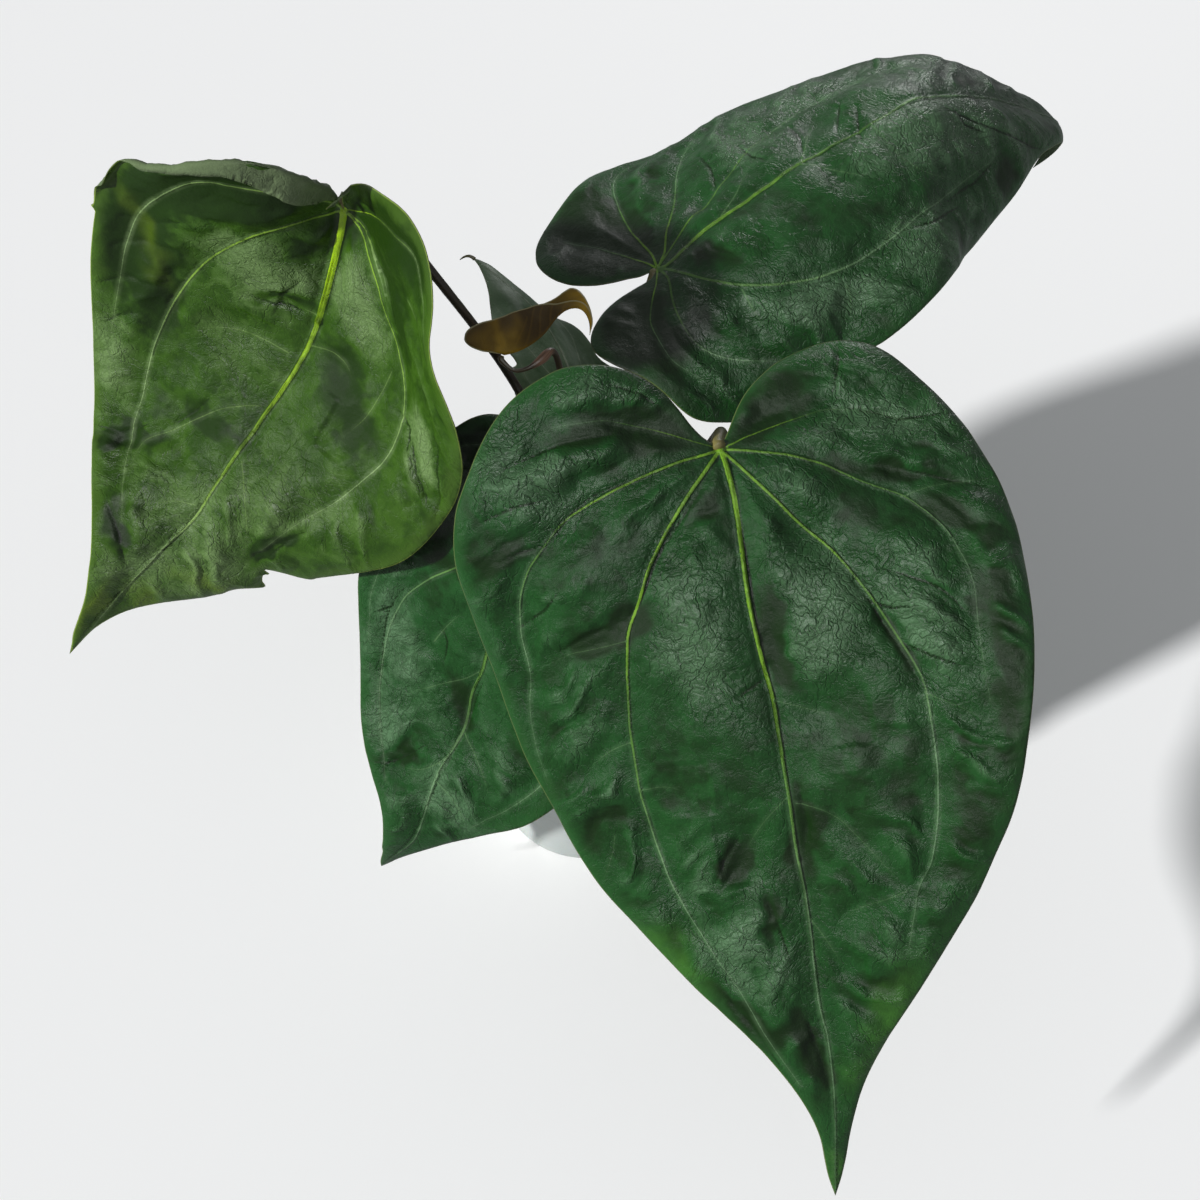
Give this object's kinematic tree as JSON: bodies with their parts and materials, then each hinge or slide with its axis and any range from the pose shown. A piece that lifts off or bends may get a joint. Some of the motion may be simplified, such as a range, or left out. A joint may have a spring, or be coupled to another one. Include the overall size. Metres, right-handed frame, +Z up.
{
  "type": "potted velvet-leaf anthurium",
  "caption": "Potted tropical house plant with large drooping dark green heart-shaped leaves, pale veins and a folded bronze new leaf on thin stalks in a plain round nursery pot.",
  "frame": {"origin": "middle of the pot's flat underside, on the surface it stands on", "axes": "+Z up, -Y towards the big leaf in front, where the picture's camera is, +X to the right as seen from there"},
  "size_m": [0.3891, 0.3955, 0.295],
  "materials": {
    "leaf_dark": "satin",
    "leaf_light": "satin",
    "leaf_dull": "matte",
    "leaf_bronze": "satin",
    "stalk": "satin",
    "stem": "matte",
    "sheath": "matte",
    "root": "matte",
    "pot": "satin",
    "mix": "matte",
    "bark": "matte",
    "perlite": "matte"
  },
  "bodies": {
    "root": {"pot": "pot", "substrate": "mix", "stem": "stem", "leaf_front": "leaf_dark", "leaf_left": "leaf_light", "leaf_low": "leaf_dark", "leaf_back": "leaf_dark", "leaf_small": "leaf_dull", "leaf_new": "leaf_bronze", "petiole_front": "stalk", "petiole_left": "stalk", "petiole_low": "stalk", "petiole_back": "stalk", "petiole_small": "stalk", "petiole_new": "stalk", "cataphyll_1": "sheath", "cataphyll_2": "sheath", "cataphyll_3": "sheath", "root_1": "root", "root_2": "root", "root_3": "root", "bark_1": "bark", "bark_2": "bark", "bark_3": "bark", "bark_4": "bark", "bark_5": "bark", "bark_6": "bark", "perlite_1": "perlite", "perlite_2": "perlite", "perlite_3": "perlite"}
  },
  "joints": []
}
